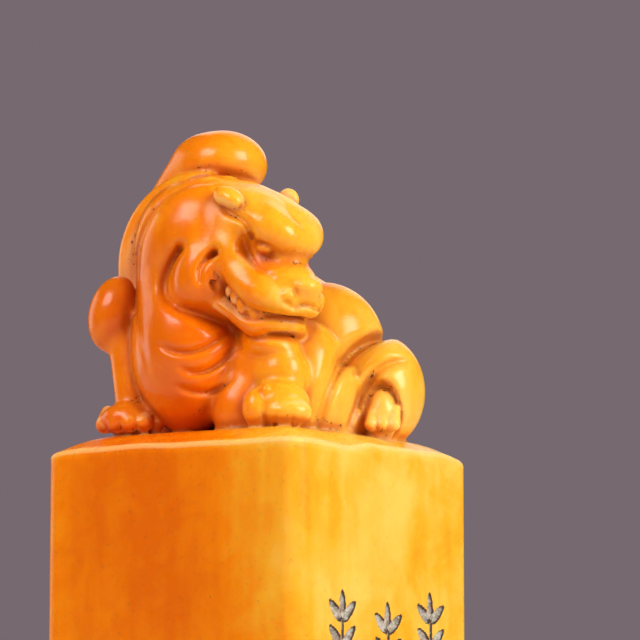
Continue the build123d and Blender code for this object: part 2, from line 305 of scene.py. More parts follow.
RIGHT_HIND = {
    "knee": (join, 1.0, ball, (-16.1, -1.0, 15.5), (2.9, 3.2, 4.3), turned(0, 12)),
    "shank": (join, 1.0, limb, (-14.6, -1.5, 12.0), (-13.9, -2.5, 4.5), 2.1, 1.8),
    "paw": (join, 0.6, ball, (-14.1, -3.0, 3.6), (3.3, 2.9, 1.9)),
}
RIGHT_HIND_TOES = ((-17.0, -3.0), (-15.6, -4.6), (-14.1, -5.3), (-12.6, -5.3), (-11.4, -4.2))
LEFT_HIND = {
    "thigh": (join, 0.5, ball, (-2.0, 12.0, 9.0), (6.0, 4.6, 7.4)),
    "paw": (join, 0.5, ball, (-1.0, 16.0, 3.4), (3.2, 3.2, 1.9)),
}
LEFT_HIND_TOES = ((-3.4, 18.0), (-1.7, 19.0), (0.1, 18.9), (1.7, 17.8))
TOE_LEAN, TOE_RUN, TOE_TOP, TOE_TIP, TOE_SEAM = 0.3, 1.4, 4.4, 3.0, 0.18
TOE_NARROWING = 0.85

RIGHT_FORE = {
    "arm": (join, 0.9, ball, (2.6, -10.1, 8.0), (2.8, 2.5, 3.0)),
    "paw": (join, 0.9, ball, (2.3, -11.6, 4.4), (3.4, 3.0, 2.6)),
    "toes": (join, 0.25, ball, (3.3, -13.3, 3.4), (2.7, 1.9, 1.5)),
    "side lobe": (join, 0.3, ball, (-0.1, -12.7, 3.9), (1.5, 1.7, 2.1)),
}
KNUCKLES, KNUCKLE_DEEP, KNUCKLE_UP, KNUCKLE_BOW = (1.0, 2.2, 3.4), -13.6, 5.7, 0.1
KNUCKLE_RADII, KNUCKLE_SEAM = (0.62, 0.8, 0.85), 0.2

LEFT_FORE = {
    "shoulder": (join, 0.8, ball, (7.0, 1.5, 12.0), (7.0, 6.0, 7.4)),
    "forearm": (join, 0.8, ball, (13.4, -0.3, 6.9), (5.0, 5.4, 6.3)),
    "arch": (dig, 0.5, ball, (13.6, -6.0, 3.2), (2.2, 3.6, 4.6)),
    "paw": (join, 0.25, ball, (13.5, -4.0, 3.9), (1.75, 1.9, 3.0)),
}
FINGERS, FINGER_LEAN, FINGER_SEAM = (12.5, 13.8, 15.0), 0.2, 0.15
FINGER_TOP, FINGER_TIP = (-4.8, 4.6), (-5.6, 2.8)
FINGER_RADII = (0.55, 0.75)


def paw(p, form, toes, ahead, radius):
    """Toes with knuckles, each running down and forward from the paw."""
    for across, deep in toes:
        top, tip = (across + TOE_LEAN, deep + TOE_RUN * ahead, TOE_TOP), (across, deep, TOE_TIP)
        form = join(form, limb(p, top, tip, radius * TOE_NARROWING, radius), TOE_SEAM)
    return form


def right_hind_leg(p):
    """The leg at the picture's left: a round knee, a thin shank and a small paw."""
    return paw(p, carved(p, RIGHT_HIND), RIGHT_HIND_TOES, ahead=1, radius=1.0)


def left_hind_leg(p):
    """The leg at the back, out of the camera's sight."""
    return paw(p, carved(p, LEFT_HIND), LEFT_HIND_TOES, ahead=-1, radius=1.05)


def right_foreleg(p):
    """The short foreleg under the chin: a broad paw with a lobe at its side and a row of knuckles."""
    form = carved(p, RIGHT_FORE)
    for across in KNUCKLES:
        knuckle = (across, KNUCKLE_DEEP + KNUCKLE_BOW * across * across, KNUCKLE_UP)
        form = join(form, ball(p, knuckle, KNUCKLE_RADII), KNUCKLE_SEAM)
    return form


def left_foreleg(p):
    """Shoulder and folded foreleg at the picture's right, with a paw in the arch under the wrist."""
    form = carved(p, LEFT_FORE)
    for across in FINGERS:
        finger = limb(p, (across, *FINGER_TOP), (across - FINGER_LEAN, *FINGER_TIP), *FINGER_RADII)
        form = join(form, finger, FINGER_SEAM)
    return form


# The ground between the rim and the feet. Block and beast both follow it

CORNER, ROUNDING = 2.2, 0.45
SWELL_HEIGHT, SWELL_RUN, SWELL_POWER = 1.9, 3.2, 1.6
# Waves of the rim: height, number round the block, and shift
RIM_WAVES = ((0.09, 3, 0.6), (0.05, 7, 2.0), (0.04, 13, 0.0))
# A bump and worn places of the rim: height, and the angle and half-width round the block
RIM_WEAR = ((0.22, -0.16, 0.10), (-0.42, -0.42, 0.12), (-0.75, 0.785, 0.11), (-0.35, -2.356, 0.09))
RIM_FADE = 2.5
GROUND_GAP, GROUND_INSET = 0.03, 1.0


def swell(inset, angle):
    """Height of the ground over the rim: a hollow slope that climbs from the edge and levels off.
    The rim itself waves a little, and is worn in some places."""
    inset = np.maximum(inset, 0)
    wave = sum(height * np.sin(number * angle + shift) for height, number, shift in RIM_WAVES)
    wear = sum(height * np.exp(-((angle - at) / width) ** 2) for height, at, width in RIM_WEAR)
    rise = SWELL_HEIGHT * (1 - np.exp(-(inset / SWELL_RUN) ** SWELL_POWER))
    return rise + (wave + wear) * np.exp(-inset / RIM_FADE)


def ground(p):
    """Distance above the ground, kept a hair under the block's own surface."""
    x = p[:, 0] * KNOB_COS - p[:, 1] * KNOB_SIN
    y = p[:, 0] * KNOB_SIN + p[:, 1] * KNOB_COS
    u = np.abs(x) - (HALF_SIDE - CORNER)
    v = np.abs(y) - (HALF_SIDE - CORNER)
    outside = np.hypot(np.maximum(u, 0), np.maximum(v, 0)) + np.minimum(np.maximum(u, v), 0) - CORNER
    height = p[:, 2] - swell(-outside, np.arctan2(y, x)) + GROUND_GAP
    return np.maximum(height, outside + GROUND_INSET)


# Lines on the beast's front. Each has the depth of its stone, and (column, row, half-width, depth)
# stops read from the picture, in pixels and millimetres; a depth below zero raises a bead instead
LINES = {
    "outer comma crease of the mane lock": (
        -10.5, (180, 248, 0.5, 1.3), (171, 262, 0.55, 0.8), (165, 280, 0.7, 0.8), (168, 297, 0.8, 0.9),
        (182, 309, 0.8, 0.8), (205, 316, 0.8, 0.7), (226, 322, 0.6, 0.5),
    ),
    "inner comma crease of the mane lock": (
        -12.0, (215, 253, 0.45, 1.2), (206, 260, 0.45, 0.7), (200, 270, 0.45, 0.6), (199, 282, 0.35, 0.3),
    ),
    "groove inside the spine ridge": (
        -6.0, (150, 372, 0.4, 0.1), (143, 345, 0.4, 0.25), (138, 322, 0.4, 0.3), (134, 290, 0.4, 0.35),
        (135, 262, 0.4, 0.4), (144, 233, 0.4, 0.4), (162, 206, 0.4, 0.4), (188, 190, 0.4, 0.4),
        (214, 186, 0.4, 0.3),
    ),
    "shadow under the jowl": (
        -11.0, (180, 309, 0.6, 0.3), (205, 318, 0.9, 0.9), (232, 330, 0.9, 0.9), (240, 345, 0.7, 0.4),
    ),
    "bead of the first rib": (
        -11.0, (158, 320, 0.6, -0.1), (170, 329, 0.65, -0.8), (186, 332, 0.7, -1.0), (205, 329, 0.7, -0.9),
        (226, 316, 0.6, -0.2),
    ),
    "cut over the second rib": (
        -11.0, (158, 343, 0.4, 0.1), (172, 351, 0.4, 0.5), (190, 353, 0.4, 0.6), (209, 346, 0.4, 0.5),
        (227, 331, 0.35, 0.2),
    ),
    "bead of the second rib": (
        -11.0, (161, 350, 0.45, -0.3), (174, 358, 0.5, -0.9), (190, 361, 0.52, -1.1), (211, 354, 0.5, -0.9),
        (229, 338, 0.45, -0.4),
    ),
    "cut over the third rib": (
        -10.5, (180, 368, 0.35, 0.1), (192, 373, 0.4, 0.5), (206, 371, 0.4, 0.6), (220, 362, 0.4, 0.5),
        (232, 348, 0.35, 0.2),
    ),
    "bead of the third rib": (
        -10.5, (182, 375, 0.4, -0.3), (194, 380, 0.5, -0.9), (208, 379, 0.5, -1.1), (223, 370, 0.5, -0.9),
        (235, 354, 0.45, -0.4),
    ),
    "cut over the fourth rib": (
        -10.0, (176, 386, 0.35, 0.1), (190, 391, 0.35, 0.4), (206, 392, 0.35, 0.4), (220, 388, 0.35, 0.3),
        (233, 379, 0.3, 0.1),
    ),
    "bead of the fourth rib": (
        -10.0, (179, 393, 0.4, -0.2), (192, 398, 0.45, -0.75), (208, 399, 0.45, -0.8),
        (222, 395, 0.45, -0.65), (234, 386, 0.4, -0.2),
    ),
    "upper crease of the shoulder": (
        -4.0, (392, 333, 0.5, 0.3), (372, 339, 0.8, 1.1), (355, 348, 0.9, 1.4), (340, 364, 0.9, 1.4),
        (330, 385, 0.8, 1.0), (322, 410, 0.7, 0.7), (316, 428, 0.5, 0.4),
    ),
    "band of hide between the creases": (
        -4.0, (404, 349, 0.9, -0.2), (385, 352, 1.1, -0.8), (366, 362, 1.1, -0.9), (351, 382, 1.0, -0.8),
        (341, 404, 0.9, -0.6), (330, 426, 0.8, -0.3),
    ),
    "lower crease of the shoulder": (
        -4.5, (408, 360, 0.4, 0.2), (390, 364, 0.6, 0.8), (373, 375, 0.7, 1.0), (362, 392, 0.6, 0.9),
        (354, 410, 0.6, 0.7), (348, 426, 0.5, 0.4),
    ),
    "first gap between the broad paw's toes": (-14.5, (277, 414, 0.25, 0.05), (275, 428, 0.25, 0.3)),
    "second gap between the broad paw's toes": (-14.5, (292, 414, 0.25, 0.05), (293, 428, 0.25, 0.3)),
    "long hair under the tuft": (
        -3.0, (166, 196, 0.3, 0.05), (190, 182, 0.3, 0.25), (216, 177, 0.3, 0.25), (243, 176, 0.3, 0.2),
        (262, 180, 0.3, 0.05),
    ),
    "short hair under the tuft": (-3.0, (160, 206, 0.3, 0.05), (180, 192, 0.3, 0.2), (206, 183, 0.3, 0.2)),
    "edge of the brow": (
        -12.5, (221, 200, 0.35, 0.1), (226, 210, 0.4, 0.3), (236, 217, 0.4, 0.45), (246, 224, 0.4, 0.5),
        (252, 236, 0.4, 0.5),
    ),
    "bag under the eye": (
        -12.5, (243, 236, 0.5, 0.2), (249, 256, 0.5, 0.45), (258, 270, 0.5, 0.45), (272, 279, 0.4, 0.2),
    ),
    "fold of the nostril": (
        -15.5, (286, 303, 0.3, 0.2), (294, 306, 0.3, 0.4), (302, 303, 0.3, 0.4), (318, 305, 0.25, 0.3),
    ),
    "lip": (-15.0, (263, 329, 0.3, 0.1), (276, 331, 0.3, 0.2), (291, 331, 0.3, 0.15)),
}
LINE_MARGIN, LINE_REACH, LINE_FADE = 3, 7, 2
# Drilled points at the heads of the comma creases: column, row, depth of the stone, and radius
DRILLED = ((180, 249, -10.5, 0.38), (215, 253, -12.0, 0.32))
DRILL_BEFORE, DRILL_BEHIND, DRILL_NARROWING, DRILL_SEAM = (0, 4, 0), (0, 0.6, 0), 0.7, 0.25

BEAST = {
    "head": (join, 0.6, near, (1.5, -9.0, 21.0), 14.0, head),
    "right hind leg": (join, 0.4, near, (-15.0, -2.0, 11.0), 10.5, right_hind_leg),
    "left hind leg": (join, 0.4, near, (-1.5, 14.0, 8.0), 10.5, left_hind_leg),
    "right foreleg": (join, 0.8, near, (2.2, -11.5, 5.5), 7.5, right_foreleg),
    "left foreleg": (join, 0.5, near, (9.5, 0.5, 9.0), 12.5, left_foreleg),
}
# The skirt of ground around the feet, and the height where the beast is closed off
SKIRT_REACH, SKIRT_SEAM, UNDER_RIM = 1.6, 0.7, -0.4


def line(p, stops, deep):
    """How much a line marks the front of the stone: a bell across its width, times its depth. The
    mark fades out where the stone is much further back than the line's own depth."""
    behind = deep + LINE_REACH
    mark = np.zeros(len(p), np.float32)
    flat = p[:, ::2]
    stops = curve(stops, 3)
    spots = [seen(stop[0], stop[1], deep)[::2] for stop in stops]
    low = np.min(spots, 0) - LINE_MARGIN
    high = np.max(spots, 0) + LINE_MARGIN
    close = np.nonzero(((flat > low) & (flat < high)).all(-1) & (p[:, 1] < behind))[0]
    q = flat[close]
    best = np.zeros(len(close), np.float32)
    for i in range(len(stops) - 1):
        run = spots[i + 1] - spots[i]
        along = np.clip(((q - spots[i]) @ run) / float(run @ run), 0, 1)
        gap = q - spots[i] - along[:, None] * run
        width = stops[i][2] + (stops[i + 1][2] - stops[i][2]) * along
        depth = stops[i][3] + (stops[i + 1][3] - stops[i][3]) * along
        best = np.maximum(best, depth * np.exp(-(gap * gap).sum(-1) / (width * width)))
    mark[close] = best * np.clip((behind - p[close, 1]) / LINE_FADE, 0, 1)
    return mark


def beast(p):
    """All forms of the beast together, with the cut lines, before the ground."""
    form = carved(p, BEAST, trunk(p))
    for deep, *stops in LINES.values():
        form += line(p, stops, deep)
    for column, row, deep, radius in DRILLED:
        hole = seen(column, row, deep)
        bit = limb(p, hole - DRILL_BEFORE, hole + DRILL_BEHIND, radius, radius * DRILL_NARROWING)
        form = dig(form, bit, DRILL_SEAM)
    return form


def stone(p):
    """The beast with a skirt of ground around its feet, closed off under the block's surface."""
    form = beast(p)
    skirt = np.maximum(ground(p), form - SKIRT_REACH)
    return np.maximum(join(form, skirt, SKIRT_SEAM), UNDER_RIM - p[:, 2])


# From distance to mesh

def graded(low, high, fine_low, fine_high, fine, coarse):
    """Grid stations along one axis: close together between the fine limits and wider outside them."""
    inner = np.linspace(fine_low, fine_high, round((fine_high - fine_low) / fine) + 1)
    below = np.linspace(low, fine_low, round((fine_low - low) / coarse) + 1)[:-1]
    above = np.linspace(fine_high, high, round((high - fine_high) / coarse) + 1)[1:]
    return np.concatenate([below, inner, above]).astype(np.float32)


def in_parts(form, points, part=60000):
    """The distances of many points, worked out part by part."""
    return np.concatenate([form(points[i:i + part]) for i in range(0, len(points), part)])


def distances(form, stations, stride=4, reach=2.4):
    """Distances on the grid: first on every fourth station, then at all points near the surface."""
    counts = [len(s) for s in stations]
    picks = [np.unique(np.append(np.arange(0, n, stride), n - 1)) for n in counts]
    rough_at = [s[i] for s, i in zip(stations, picks)]
    rough = in_parts(form, np.stack(np.meshgrid(*rough_at, indexing="ij"), -1).reshape(-1, 3))
    rough = rough.reshape([len(i) for i in picks])
    close = np.abs(rough) < reach
    for axis in range(3):
        close = close | np.roll(close, 1, axis) | np.roll(close, -1, axis)
    which = [np.minimum(np.arange(n) // stride, len(i) - 1) for n, i in zip(counts, picks)]
    values = rough[np.ix_(*which)].astype(np.float32)
    at = np.nonzero(close[np.ix_(*which)])
    values[at] = in_parts(form, np.stack([s[i] for s, i in zip(stations, at)], -1))
    return values


def slope(form, points, step=0.06):
    """Distance and gradient at points, and its length, from samples at a small tetrahedron's corners."""
    total = np.zeros((len(points), 3), np.float32)
    mean = np.zeros(len(points), np.float32)
    for corner in ((1, 1, 1), (1, -1, -1), (-1, 1, -1), (-1, -1, 1)):
        corner = np.array(corner, np.float32)
        value = in_parts(form, points + step * corner)
        total += value[:, None] * corner
        mean += value / 4
    gradient = total / (4 * step)
    length = np.sqrt((gradient * gradient).sum(-1)) + 1e-6
    return mean, gradient, length


def skin(form, stations, passes=2, longest=0.1):
    """Surface net: one vertex in each grid cell that the surface crosses, at the mean of the
    crossings of its edges, one quad around each crossed grid edge, and then the vertices drawn onto
    the surface."""
    values = distances(form, stations)
    solid = values < 0
    n = solid.shape
    count = sum(
        solid[i:n[0] - 1 + i, j:n[1] - 1 + j, k:n[2] - 1 + k].astype(np.int8)
        for i in (0, 1) for j in (0, 1) for k in (0, 1)
    )
    cell = np.stack(np.nonzero((count > 0) & (count < 8)), -1)
    number = np.full(count.shape, -1, np.int64)
    number[tuple(cell.T)] = np.arange(len(cell))
    total = np.zeros((len(cell), 3))
    crossings = np.zeros(len(cell))
    for axis in range(3):
        others = [k for k in range(3) if k != axis]
        for first in (0, 1):
            for second in (0, 1):
                low = np.zeros(3, int)
                low[others] = first, second
                high = low.copy()
                high[axis] = 1
                a = values[tuple((cell + low).T)]
                b = values[tuple((cell + high).T)]
                crossed = (a < 0) != (b < 0)
                spot = np.tile(low.astype(float), (len(cell), 1))
                spot[:, axis] = a / np.where(crossed, a - b, 1)
                total[crossed] += spot[crossed]
                crossings[crossed] += 1
    share = cell + total / crossings[:, None]
    points = np.stack([np.interp(share[:, k], np.arange(n[k]), stations[k]) for k in range(3)], -1)
    quads = []
    for axis in range(3):
        b, c = (axis + 1) % 3, (axis + 2) % 3
        inner = [slice(1, m - 1) for m in n]
        inner[axis] = slice(0, n[axis] - 1)
        ahead = list(inner)
        ahead[axis] = slice(1, n[axis])
        here, there = solid[tuple(inner)], solid[tuple(ahead)]
        for crossed, order in ((here & ~there, 1), (~here & there, -1)):
            edge = np.stack(np.nonzero(crossed), -1)
            edge[:, [b, c]] += 1
            corners = []
            for back_b, back_c in ((1, 1), (0, 1), (0, 0), (1, 0)):
                corner = edge.copy()
                corner[:, b] -= back_b
                corner[:, c] -= back_c
                corners.append(number[tuple(corner.T)])
            quads.append(np.stack(corners, -1)[:, ::order])
    points = points.astype(np.float32)
    for _ in range(passes):
        distance, gradient, length = slope(form, points)
        move = np.clip(distance / length, -longest, longest)
        points -= (move / length)[:, None] * gradient
    return points, np.concatenate(quads)


def mesh_object(name, points, faces, material, attributes=(), caps=()):
    """A smooth mesh object at the origin, from row-frame points, faces with one number of corners,
    and any flat caps with more."""
    mesh = bpy.data.meshes.new(name)
    corners = np.concatenate([faces.ravel(), *caps]).astype(np.int32)
    sizes = [faces.shape[1]] * len(faces) + [len(cap) for cap in caps]
    starts = np.cumsum([0] + sizes[:-1])
    mesh.vertices.add(len(points))
    mesh.vertices.foreach_set("co", np.ascontiguousarray(points, np.float32).ravel())
    mesh.loops.add(len(corners))
    mesh.loops.foreach_set("vertex_index", corners)
    mesh.polygons.add(len(starts))
    mesh.polygons.foreach_set("loop_start", starts.astype(np.int32))
    mesh.polygons.foreach_set("use_smooth", np.arange(len(starts)) < len(faces))
    for label, values in dict(attributes).items():
        made = mesh.attributes.new(label, "FLOAT", "POINT")
        made.data.foreach_set("value", values.astype(np.float32))
    mesh.update(calc_edges=True)
    mesh.validate()
    mesh.materials.append(material)
    thing = bpy.data.objects.new(name, mesh)
    bpy.context.scene.collection.objects.link(thing)
    return thing


# Shading. Groups give colours, masks and values; each material keeps its own Principled BSDF

def node(tree, kind, inputs=(), **settings):
    """A shader node with its settings; each input is a value or another node's socket."""
    made = tree.nodes.new(kind)
    for name, value in settings.items():
        setattr(made, name, value)
    for socket, value in dict(inputs).items():
        if isinstance(value, bpy.types.NodeSocket):
            tree.links.new(value, made.inputs[socket])
        else:
            made.inputs[socket].default_value = value
    return made


def calc(tree, operation, *values):
    """One step of arithmetic on values or sockets."""
    return node(tree, "ShaderNodeMath", dict(enumerate(values)), operation=operation).outputs[0]


def added(tree, first, *others):
    """Values or sockets added up."""
    for other in others:
        first = calc(tree, "ADD", first, other)
    return first


def multiplied(tree, first, *others):
    """Values or sockets multiplied together."""
    for other in others:
        first = calc(tree, "MULTIPLY", first, other)
    return first


def fade(tree, value, low, high, to_low=0.0, to_high=1.0):
    """A value eased from one range to another and held at its ends."""
    inputs = {0: value, 1: low, 2: high, 3: to_low, 4: to_high}
    return node(tree, "ShaderNodeMapRange", inputs, interpolation_type="SMOOTHSTEP").outputs[0]


def mix(tree, share, a, b):
    """Two colours mixed by a share."""
    return node(tree, "ShaderNodeMix", {0: share, 6: a, 7: b}, data_type="RGBA").outputs[2]


def cloud(tree, vector, scale, detail=3.0, rough=0.5, warp=0.0):
    """Noise between 0 and 1 at this many turns per metre."""
    inputs = {"Vector": vector, "Scale": scale, "Detail": detail, "Roughness": rough, "Distortion": warp}
    return node(tree, "ShaderNodeTexNoise", inputs).outputs[0]


def vector_step(tree, operation, a, b, output):
    """One step of arithmetic on two vectors."""
    return node(tree, "ShaderNodeVectorMath", {0: a, 1: b}, operation=operation).outputs[output]


def painted(tree, name):
    """A value that the mesh brings for each vertex."""
    return node(tree, "ShaderNodeAttribute", attribute_name=name).outputs["Fac"]


def group(name, ins, outs):
    """An empty node group with these sockets, given as (name, kind) pairs."""
    tree = bpy.data.node_groups.new(name, "ShaderNodeTree")
    for label, kind in ins:
        tree.interface.new_socket(label, in_out="INPUT", socket_type="NodeSocket" + kind)
    for label, kind in outs:
        tree.interface.new_socket(label, in_out="OUTPUT", socket_type="NodeSocket" + kind)
    return tree, tree.nodes.new("NodeGroupInput"), tree.nodes.new("NodeGroupOutput")


# Colours of the stone, from its redder to its yellower parts, each at its place on the ramp
STONE_RAMP = (
    (0.0, (0.80, 0.155, 0.0005, 1)),
    (0.32, (0.93, 0.25, 0.001, 1)),
    (0.66, (0.97, 0.44, 0.02, 1)),
    (1.0, (0.99, 0.58, 0.10, 1)),
)
# Dark red for painted shade in the hollows, partly stain, and near-black grains
SHADE_AND_STAIN_COLOUR, GRAIN_COLOUR = (0.47, 0.065, 0.002, 1), (0.035, 0.012, 0.006, 1)
# Pale colour for a painted glow where the stone is thin, and a painted highlight along the block's rim
GLOW_AND_HIGHLIGHT_COLOUR = (0.98, 0.62, 0.24, 1)
POWDER_DARK, POWDER_PALE, CUT_EDGE = (0.30, 0.26, 0.22, 1), (0.56, 0.53, 0.49, 1), (0.055, 0.035, 0.028, 1)
PASTE_COLOUR = (0.40, 0.012, 0.010, 1)

# Noise in the stone: turns per metre, octaves, roughness and warp. Streaks and tool marks are
# stretched first, by their turns per metre on each axis
CLOUDS, VEINS, HAZE = (62, 3, 0.55, 0.6), (210, 4, 0.6, 1.2), (900, 3, 0.6)
GRAINS, GRAIN_PATCHES = (2300, 2, 0.6), (330, 2, 0.5)
STREAKS, STREAK_TURNS = (1.0, 4, 0.55, 0.3), (420, 420, 40)
WAVES, TOOL_MARKS, TOOL_TURNS = (170, 2, 0.4), (1.0, 2, 0.5), (700, 700, 2600)
CHIPS, PASTE_CREEP, PASTE_BLOTS = (1700, 3, 0.65), (500,), (240, 4, 0.6)

# Where the colour turns yellower, partly the stone's own tone and partly painted light: start and end of
# the change in metres, and the amount at both
YELLOW_RIGHT, YELLOW_LEFT = (-0.012, 0.010, 0.0, 0.74), (-0.0235, -0.0165, 0.26, 0.0)
YELLOW_TOP = (0.070, 0.080, 0.0, 0.24)
# Over the rim, the change to the right comes later: start and end heights, and the delay at both
KNOB_LAG = (0.052, 0.058, 0.0, 0.0030)
# How noise shifts it: start and end of the noise, and the shift at both
CLOUD_SHIFT, VEIN_SHIFT = (0.32, 0.68, -0.6, 1.0), (0.3, 0.7, -0.06, 0.09)
STREAK_SHIFT = (0.3, 0.7, -0.07, 0.07)
# The last value makes thin parts and the block's rim yellower: more painted glow and highlight
CLOUD_LEAST, CLOUD_MORE, GLOW_AND_HIGHLIGHT_SHIFT = 0.09, 0.14, 0.2
# Painted dark red shade in the hollows, partly stain, grains and dullness there, and paler thin edges
SHADE_AND_STAIN_HOLLOW, SHADE_AND_STAIN_VEINS, SHADE_AND_STAIN_SHARE = (0.18, 0.85), (0.25, 0.6, 0.55, 1.0), 0.7
GLOW_AND_HIGHLIGHT_FADE = (0.7, 1.0, 0.0, 0.5)
GRAIN_CUTOFF, GRAIN_HOLLOW, GRAIN_PATCH = (0.62, 0.66), (0.3, 0.6), (0.5, 0.6)
HAZE_DULLS, HOLLOW_DULLS = (0.3, 0.7, 0.0, 0.06), 0.3
WAVE_HEIGHT, TOOL_HEIGHT = 0.8, 0.35
BUMP = {"Distance": 0.00035, "Strength": 0.5}


def stone_tint():
    """The stone's colour from its place, as a volume would have it: red-orange, orange and yellow
    clouds, yellower towards +X and the top (partly its own tone, partly painted light), with dark
    red painted shade, partly stain, where it is hollow, and a pale painted glow where it is thin.
    Its gloss is a value to add to the roughness."""
    ins = [("Place", "Vector"), ("Hollow", "Float"), ("Thin", "Float")]
    tree, into, out = group("stone tint", ins, [("Colour", "Color"), ("Gloss", "Float")])
    spot, hollow, thin = (into.outputs[label] for label, kind in ins)
    up = node(tree, "ShaderNodeSeparateXYZ", {0: spot}).outputs[2]
    rightward = vector_step(tree, "DOT_PRODUCT", spot, (KNOB_COS, KNOB_SIN, 0), "Value")
    clouds, veins = cloud(tree, spot, *CLOUDS), cloud(tree, spot, *VEINS)
    streaks = cloud(tree, vector_step(tree, "MULTIPLY", spot, STREAK_TURNS, 0), *STREAKS)
    # Yellower towards +X, the far left and the top: partly the stone's own tone, partly painted light
    lagging = calc(tree, "SUBTRACT", rightward, fade(tree, up, *KNOB_LAG))
    zone = fade(tree, lagging, *YELLOW_RIGHT)
    patchy = added(tree, multiplied(tree, zone, CLOUD_MORE), CLOUD_LEAST)
    warmth = added(
        tree, zone, fade(tree, up, *YELLOW_TOP), fade(tree, rightward, *YELLOW_LEFT),
        multiplied(tree, fade(tree, clouds, *CLOUD_SHIFT), patchy),
        fade(tree, veins, *VEIN_SHIFT), fade(tree, streaks, *STREAK_SHIFT),
        multiplied(tree, thin, GLOW_AND_HIGHLIGHT_SHIFT),
    )
    ramp = node(tree, "ShaderNodeValToRGB", {0: warmth})
    stops = ramp.color_ramp.elements
    stops[0].color, stops[1].color = STONE_RAMP[0][1], STONE_RAMP[-1][1]
    for at, colour in STONE_RAMP[1:-1]:
        stops.new(at).color = colour
    # Dark red painted shade in the hollows, partly stain
    shade_and_stain = multiplied(tree, fade(tree, hollow, *SHADE_AND_STAIN_HOLLOW), fade(tree, veins, *SHADE_AND_STAIN_VEINS), SHADE_AND_STAIN_SHARE)
    colour = mix(tree, shade_and_stain, ramp.outputs[0], SHADE_AND_STAIN_COLOUR)
    # Pale painted glow where the stone is thin, and a painted highlight along the block's rim
    colour = mix(tree, fade(tree, thin, *GLOW_AND_HIGHLIGHT_FADE), colour, GLOW_AND_HIGHLIGHT_COLOUR)
    grains = fade(tree, cloud(tree, spot, *GRAINS), *GRAIN_CUTOFF)
    patches = fade(tree, cloud(tree, spot, *GRAIN_PATCHES), *GRAIN_PATCH)
    specks = multiplied(tree, grains, fade(tree, hollow, *GRAIN_HOLLOW), patches)
    tree.links.new(mix(tree, specks, colour, GRAIN_COLOUR), out.inputs["Colour"])
    haze = fade(tree, cloud(tree, spot, *HAZE), *HAZE_DULLS)
    tree.links.new(added(tree, haze, multiplied(tree, hollow, HOLLOW_DULLS)), out.inputs["Gloss"])
    return tree


def stone_grain():
    """A height for bumps: soft waves left by the polishing and finer tool marks."""
    tree, into, out = group("stone grain", [("Place", "Vector"), ("Marks", "Float")], [("Height", "Float")])
    spot = into.outputs["Place"]
    waves = multiplied(tree, cloud(tree, spot, *WAVES), WAVE_HEIGHT)
    tools = cloud(tree, vector_step(tree, "MULTIPLY", spot, TOOL_TURNS, 0), *TOOL_MARKS)
    tools = multiplied(tree, tools, into.outputs["Marks"], TOOL_HEIGHT)
    tree.links.new(added(tree, waves, tools), out.inputs["Height"])
    return tree


TINT = stone_tint()
GRAIN = stone_grain()

# Slightly translucent stone: values of its Principled BSDF that all its materials share
STONE_SHADER = {
    "IOR": 1.55,
    "Subsurface Weight": 0.45,
    "Subsurface Scale": 0.0022,
    "Subsurface Radius": (1.0, 0.32, 0.09),
}
# The cut: how far its edge reaches, where its dark edge turns to powder, and how chips fray both
CUT_LIMIT, CUT_FRAY, POWDER_LIMIT, POWDER_FRAY = (0.14, 0.26), 0.25, (0.5, 0.85), 0.5
POWDER_TONES, CUT_DULLS = (0.4, 0.62), 0.45
# The seal paste: how high it creeps in metres, how it is blotted, and how it dulls the stone
PASTE_HEIGHT, PASTE_FRAY = (0.0006, 0.0015, 1.0, 0.0), 0.0008
PASTE_COVER, PASTE_DULLS = (0.3, 0.55, 0.55, 1.0), 0.3


def stone_material(name, roughness, marks, shine, cut=False, paste=False):
    """Polished stone. Where the mesh says it is cut, the fresh cut shows as pale powder with dark
    edges. Seal paste stains the underside red, and creeps a little way up the wall."""
    material = bpy.data.materials.new(name)
    material.use_nodes = True
    tree = material.node_tree
    shader = tree.nodes["Principled BSDF"]
    for socket, value in {"Roughness": roughness, "Specular IOR Level": shine, **STONE_SHADER}.items():
        shader.inputs[socket].default_value = value
    spot = node(tree, "ShaderNodeTexCoord").outputs["Object"]
    hollow, thin = painted(tree, "hollow"), painted(tree, "thin")
    tint = node(tree, "ShaderNodeGroup", node_tree=TINT)
    for socket, value in (("Place", spot), ("Hollow", hollow), ("Thin", thin)):
        tree.links.new(value, tint.inputs[socket])
    grain = node(tree, "ShaderNodeGroup", node_tree=GRAIN)
    tree.links.new(spot, grain.inputs["Place"])
    grain.inputs["Marks"].default_value = marks
    colour = tint.outputs["Colour"]
    rough = added(tree, tint.outputs["Gloss"], roughness)
    if cut:
        amount = painted(tree, "cut")
        chips = cloud(tree, spot, *CHIPS)
        edge = fade(tree, added(tree, amount, multiplied(tree, chips, CUT_FRAY)), *CUT_LIMIT)
        powder = mix(tree, fade(tree, chips, *POWDER_TONES), POWDER_DARK, POWDER_PALE)
        inside = fade(tree, added(tree, amount, multiplied(tree, chips, POWDER_FRAY)), *POWDER_LIMIT)
        colour = mix(tree, edge, colour, mix(tree, inside, CUT_EDGE, powder))
        rough = added(tree, rough, multiplied(tree, edge, CUT_DULLS))
    if paste:
        up = node(tree, "ShaderNodeSeparateXYZ", {0: spot}).outputs[2]
        creep = multiplied(tree, cloud(tree, spot, *PASTE_CREEP), PASTE_FRAY)
        low = fade(tree, added(tree, up, creep), *PASTE_HEIGHT)
        stained = multiplied(tree, low, fade(tree, cloud(tree, spot, *PASTE_BLOTS), *PASTE_COVER))
        colour = mix(tree, stained, colour, PASTE_COLOUR)
        rough = added(tree, rough, multiplied(tree, low, PASTE_DULLS))
    tree.links.new(colour, shader.inputs["Base Color"])
    tree.links.new(rough, shader.inputs["Roughness"])
    bump = node(tree, "ShaderNodeBump", {"Height": grain.outputs["Height"], **BUMP})
    tree.links.new(bump.outputs[0], shader.inputs["Normal"])
    return material


# Build the beast. Its front, which the picture shows, gets the fine grid

